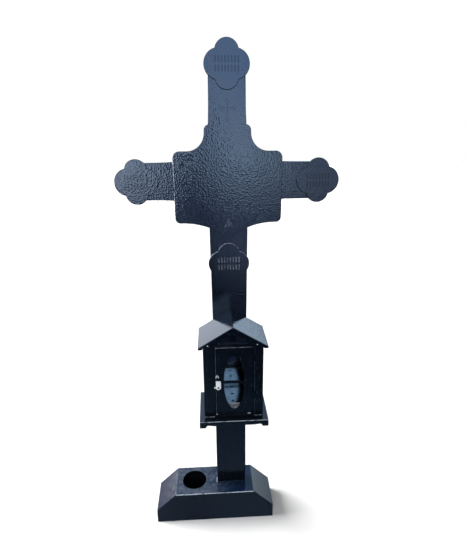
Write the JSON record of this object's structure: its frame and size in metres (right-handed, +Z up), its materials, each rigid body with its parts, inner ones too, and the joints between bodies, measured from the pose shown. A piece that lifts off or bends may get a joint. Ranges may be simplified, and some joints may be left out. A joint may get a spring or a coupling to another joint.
{
  "type": "grave cross",
  "caption": "Standing iron grave cross with lobed end plates, a shaped plate at the crossing, a gabled candle lantern with a door, and a plinth with a vase hole.",
  "frame": {"origin": "on the plinth's underside, below the middle of the post", "axes": "+Z up, +X to the right as the front is looked at, the front and the lantern door face -Y"},
  "size_m": [0.625, 0.232, 1.509],
  "materials": {
    "paint": "gloss powder coat, blue-black, fine orange peel",
    "zinc": "bright zinc plating, bare sheet"
  },
  "bodies": {
    "root": {"plinth": "paint", "cross": "paint", "top_plate": "paint", "left_arm_plate": "paint", "right_arm_plate": "paint", "lower_plate": "paint", "crossing_plate": "paint", "lantern_shelf": "paint", "lantern_body": "paint", "lantern_roof": "paint", "candle_tray": "zinc", "hinge_upper_frame_leaf": "paint", "hinge_lower_frame_leaf": "paint"},
    "door": {"lantern_door": "paint", "hinge_upper_door_leaf": "paint", "hinge_lower_door_leaf": "paint", "latch_rivet": "paint", "door_eye": "zinc"},
    "latch": {"latch_plate": "zinc"}
  },
  "joints": [
    {"name": "door_swing", "type": "hinge", "parent": "root", "child": "door", "pos_m": [0.061, -0.1495, 0.595], "axis": [0, 0, 1], "range_deg": [0, 110]},
    {"name": "latch_turn", "type": "hinge", "parent": "door", "child": "latch", "pos_m": [-0.0405, -0.1475, 0.5795], "axis": [0, 1, 0], "range_deg": [0, 90]}
  ]
}
